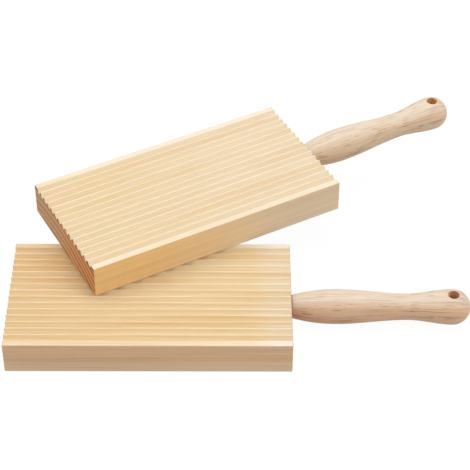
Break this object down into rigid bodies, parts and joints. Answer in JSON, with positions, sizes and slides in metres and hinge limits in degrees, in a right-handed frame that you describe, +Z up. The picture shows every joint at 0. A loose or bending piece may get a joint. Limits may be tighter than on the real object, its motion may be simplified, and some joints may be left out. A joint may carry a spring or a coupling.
{
  "type": "gnocchi board",
  "caption": "Crossed pair of ribbed wooden paddles with turned handles, for rolling gnocchi and butter; the upper board lies loose on the lower one.",
  "frame": {"origin": "middle of the lower head's flat underside, on the table", "axes": "+X along the lower board towards its handle, +Y to the back, +Z up through the ribs"},
  "size_m": [0.205, 0.1605, 0.032],
  "materials": {
    "softwood_head": "planed and sanded, no varnish",
    "beech_handle": "turned and sanded, no varnish"
  },
  "bodies": {
    "lower_board": {"lower_head": "softwood_head", "lower_handle": "beech_handle"},
    "upper_board": {"upper_head": "softwood_head", "upper_handle": "beech_handle"}
  },
  "joints": [
    {"name": "upper_board_lift", "type": "slide", "parent": "lower_board", "child": "upper_board", "axis": [0, 0, 1], "range_m": [0, 0.08]}
  ]
}
